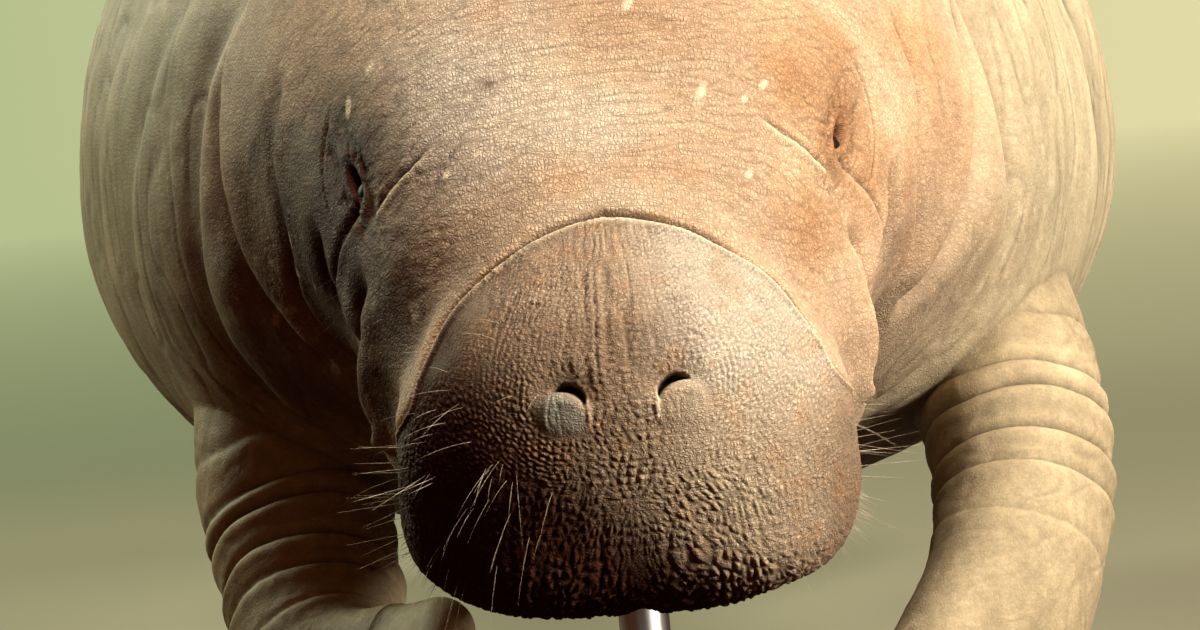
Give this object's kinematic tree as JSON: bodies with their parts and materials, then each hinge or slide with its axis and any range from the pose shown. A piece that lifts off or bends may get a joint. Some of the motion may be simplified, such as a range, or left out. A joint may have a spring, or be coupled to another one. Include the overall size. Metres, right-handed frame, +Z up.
{
  "type": "manatee",
  "caption": "Life-size manatee with a bowed head, whiskered muzzle, folded flippers and a rounded tail paddle, held over a flat base by short rods.",
  "frame": {"origin": "centre of the underside of the stand's base", "axes": "+Z up, -Y the way the head faces, +X the animal's left"},
  "size_m": [0.8058, 2.9709, 0.9493],
  "materials": {
    "skin": "rough, finely wrinkled brown-grey hide",
    "muzzle_skin": "rough, deeply wrinkled dark hide",
    "eye": "glossy dark brown",
    "nail": "smooth pale horn",
    "stand_base": "dark satin",
    "stand_rod": "satin"
  },
  "bodies": {
    "root": {"muzzle": "muzzle_skin", "lower_jaw": "muzzle_skin", "eye_left": "eye", "eye_right": "eye", "head": "skin", "neck": "skin", "chest": "skin", "belly": "skin", "loins": "skin", "tail_stock": "skin", "tail_paddle": "skin", "flipper_left_arm": "skin", "flipper_left_hand": "skin", "flipper_right_arm": "skin", "flipper_right_hand": "skin", "nail_left_1": "nail", "nail_left_2": "nail", "nail_left_3": "nail", "nail_right_1": "nail", "nail_right_2": "nail", "nail_right_3": "nail", "stand_base": "stand_base", "stand_rod_front": "stand_rod", "stand_rod_rear": "stand_rod"}
  },
  "joints": []
}
